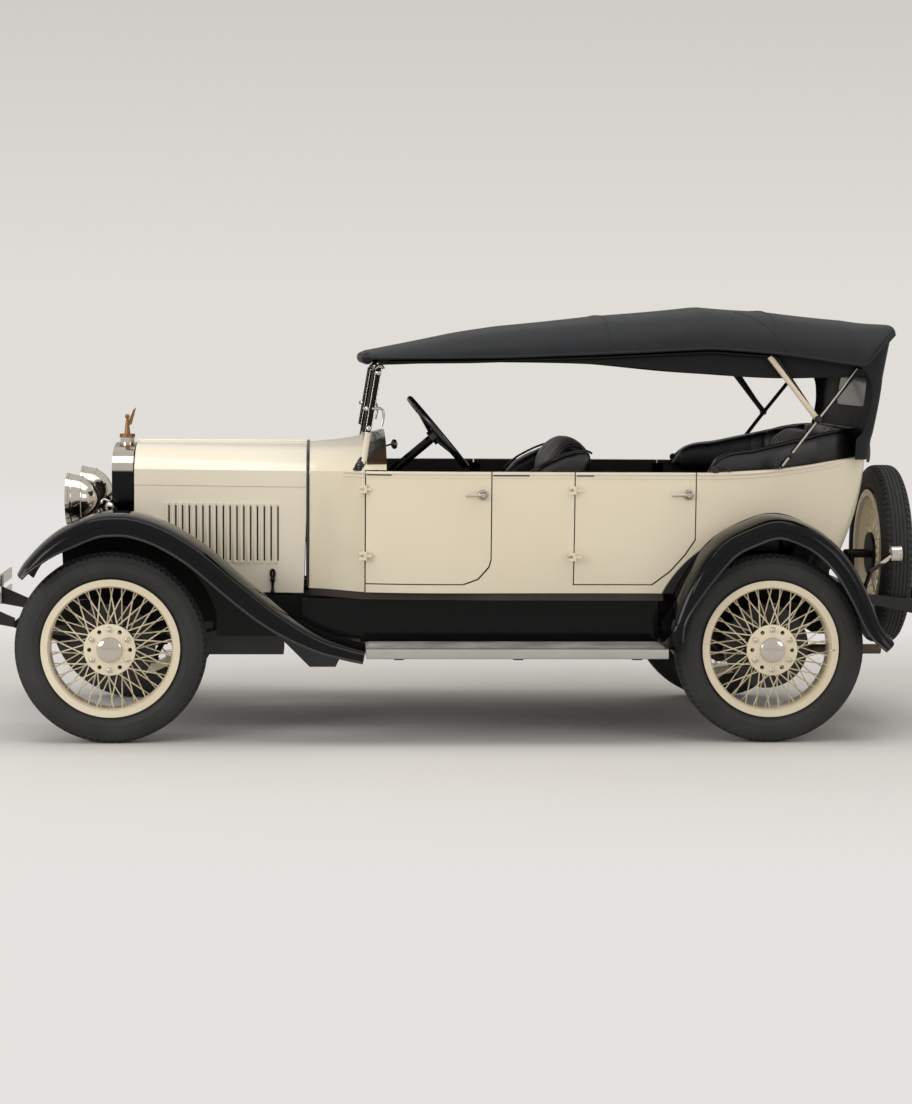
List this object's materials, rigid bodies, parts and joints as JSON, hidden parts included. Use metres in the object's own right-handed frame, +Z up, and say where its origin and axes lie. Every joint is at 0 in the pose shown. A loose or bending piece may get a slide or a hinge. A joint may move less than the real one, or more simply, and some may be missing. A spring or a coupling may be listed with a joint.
{
  "type": "1920s touring car",
  "caption": "Open touring car with wire wheels, swept wings, louvred folding bonnet, hinged doors, raised canopy, upright spare wheel and twin-bar bumpers.",
  "frame": {"origin": "on the ground, at the middle of the car's outer box in length and width", "axes": "+Z up, -X towards the front, -Y towards the car's left side"},
  "size_m": [4.25, 1.698, 1.8449],
  "materials": {
    "body_paint": "gloss",
    "black_paint": "gloss",
    "chassis_black": "satin",
    "wheel_paint": "gloss",
    "nickel": "polished",
    "tyre": "matte",
    "engine_grey": "matte",
    "steel": "satin",
    "core": "matte",
    "boards": "matte",
    "board_mat": "matte",
    "leather": "satin",
    "canvas": "matte",
    "glass": "gloss",
    "ebonite": "gloss"
  },
  "bodies": {
    "car": {"chassis_frame": "chassis_black", "leaf_springs": "chassis_black", "front_axle": "chassis_black", "rear_axle": "chassis_black", "engine_block": "engine_grey", "exhaust": "steel", "fuel_tank": "chassis_black", "radiator_shell": "nickel", "radiator_core": "core", "radiator_cap": "nickel", "cowl": "body_paint", "body_sides": "body_paint", "body_rear": "body_paint", "floor": "boards", "front_wings": "black_paint", "rear_wings": "black_paint", "running_boards": "board_mat", "valances": "black_paint", "windscreen_frame": "black_paint", "windscreen_glass": "glass", "instrument_panel": "black_paint", "steering_column": "black_paint", "front_seat": "leather", "rear_seat": "leather", "canopy": "canvas", "canopy_irons": "nickel", "spare_wheel": "wheel_paint", "spare_tyre": "tyre", "spare_carrier": "chassis_black", "headlamps": "nickel", "tail_lamp": "nickel", "front_bumper": "nickel", "rear_bumper": "nickel"},
    "wheel_front_left": {"wheel_front_left": "wheel_paint", "tyre_front_left": "tyre"},
    "wheel_front_right": {"wheel_front_right": "wheel_paint", "tyre_front_right": "tyre"},
    "wheel_rear_left": {"wheel_rear_left": "wheel_paint", "tyre_rear_left": "tyre"},
    "wheel_rear_right": {"wheel_rear_right": "wheel_paint", "tyre_rear_right": "tyre"},
    "knuckle_left": {"knuckle_left": "chassis_black"},
    "knuckle_right": {"knuckle_right": "chassis_black"},
    "tie_rod": {"tie_rod": "chassis_black"},
    "steering_wheel": {"steering_wheel": "ebonite"},
    "door_front_left": {"door_front_left": "body_paint"},
    "door_front_right": {"door_front_right": "body_paint"},
    "door_rear_left": {"door_rear_left": "body_paint"},
    "door_rear_right": {"door_rear_right": "body_paint"},
    "bonnet_top_left": {"bonnet_top_left": "body_paint"},
    "bonnet_top_right": {"bonnet_top_right": "body_paint"},
    "bonnet_side_left": {"bonnet_side_left": "body_paint"},
    "bonnet_side_right": {"bonnet_side_right": "body_paint"}
  },
  "joints": [
    {"name": "steer_left", "type": "hinge", "parent": "car", "child": "knuckle_left", "pos_m": [-1.525, -0.59, 0.4], "axis": [0, 0, 1], "range_deg": [-28, 28]},
    {"name": "wheel_front_left_spin", "type": "hinge", "parent": "knuckle_left", "child": "wheel_front_left", "pos_m": [-1.525, -0.7, 0.4], "axis": [0, 1, 0], "continuous": true},
    {"name": "wheel_rear_left_spin", "type": "hinge", "parent": "car", "child": "wheel_rear_left", "pos_m": [1.245, -0.7, 0.4], "axis": [0, 1, 0], "continuous": true},
    {"name": "door_front_left_hinge", "type": "hinge", "parent": "car", "child": "door_front_left", "pos_m": [-0.464, -0.63937, 0.9], "axis": [0, 0, -1], "range_deg": [0, 65]},
    {"name": "door_rear_left_hinge", "type": "hinge", "parent": "car", "child": "door_rear_left", "pos_m": [0.419, -0.67678, 0.9], "axis": [0, 0, -1], "range_deg": [0, 65]},
    {"name": "bonnet_top_left_hinge", "type": "hinge", "parent": "car", "child": "bonnet_top_left", "pos_m": [-1.459, 0, 1.238], "axis": [-1, 0, 0], "range_deg": [0, 60]},
    {"name": "bonnet_side_left_hinge", "type": "hinge", "parent": "bonnet_top_left", "child": "bonnet_side_left", "pos_m": [-1.459, -0.2775, 1.0545], "axis": [-0.9878, 0.1556, 0], "range_deg": [-42, 0]},
    {"name": "steer_right", "type": "hinge", "parent": "car", "child": "knuckle_right", "pos_m": [-1.525, 0.59, 0.4], "axis": [0, 0, 1], "range_deg": [-28, 28]},
    {"name": "wheel_front_right_spin", "type": "hinge", "parent": "knuckle_right", "child": "wheel_front_right", "pos_m": [-1.525, 0.7, 0.4], "axis": [0, 1, 0], "continuous": true},
    {"name": "wheel_rear_right_spin", "type": "hinge", "parent": "car", "child": "wheel_rear_right", "pos_m": [1.245, 0.7, 0.4], "axis": [0, 1, 0], "continuous": true},
    {"name": "door_front_right_hinge", "type": "hinge", "parent": "car", "child": "door_front_right", "pos_m": [-0.464, 0.63937, 0.9], "axis": [0, 0, 1], "range_deg": [0, 65]},
    {"name": "door_rear_right_hinge", "type": "hinge", "parent": "car", "child": "door_rear_right", "pos_m": [0.419, 0.67678, 0.9], "axis": [0, 0, 1], "range_deg": [0, 65]},
    {"name": "bonnet_top_right_hinge", "type": "hinge", "parent": "car", "child": "bonnet_top_right", "pos_m": [-1.459, 0, 1.238], "axis": [1, 0, 0], "range_deg": [0, 60]},
    {"name": "bonnet_side_right_hinge", "type": "hinge", "parent": "bonnet_top_right", "child": "bonnet_side_right", "pos_m": [-1.459, 0.2775, 1.0545], "axis": [0.9878, 0.1556, 0], "range_deg": [-42, 0]},
    {"name": "tie_rod_pivot", "type": "hinge", "parent": "knuckle_left", "child": "tie_rod", "pos_m": [-1.36, -0.5636, 0.34], "axis": [0, 0, 1], "range_deg": [-28, 28]},
    {"name": "steering_wheel_turn", "type": "hinge", "parent": "car", "child": "steering_wheel", "pos_m": [-0.167, -0.33, 1.272], "axis": [0.766, 0, 0.6428], "range_deg": [-336, 336]}
  ],
  "couplings": [
    {"joint": "steer_right", "follows": "steer_left", "ratio": 1},
    {"joint": "steering_wheel_turn", "follows": "steer_left", "ratio": 12},
    {"joint": "tie_rod_pivot", "follows": "steer_left", "ratio": -1},
    {"joint": "bonnet_side_left_hinge", "follows": "bonnet_top_left_hinge", "ratio": -0.7},
    {"joint": "bonnet_side_right_hinge", "follows": "bonnet_top_right_hinge", "ratio": -0.7}
  ]
}
